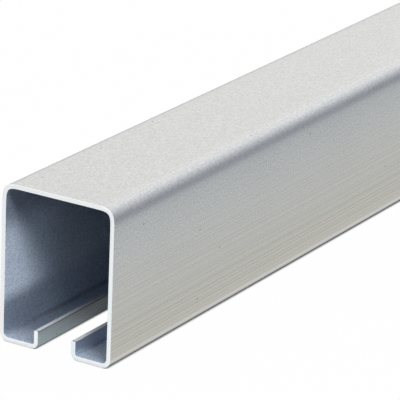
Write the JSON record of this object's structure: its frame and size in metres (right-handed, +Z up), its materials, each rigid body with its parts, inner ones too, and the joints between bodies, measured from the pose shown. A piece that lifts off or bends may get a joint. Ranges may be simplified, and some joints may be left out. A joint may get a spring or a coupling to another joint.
{
  "type": "track rail",
  "caption": "Straight roll-formed stainless steel box rail, open along its underside, with upturned lips inside, for the trolleys of a sliding door or gate to run in.",
  "frame": {"origin": "on the surface the rail lies on, under the middle of its length and width", "axes": "+X along the rail, +Y across it, +Z up from the slotted underside to the closed top"},
  "size_m": [1, 0.04, 0.051],
  "materials": {
    "stainless_steel": "satin rolled sheet with fine lines along the length and bright sawn ends"
  },
  "bodies": {
    "root": {"track_rail": "stainless_steel"}
  },
  "joints": []
}
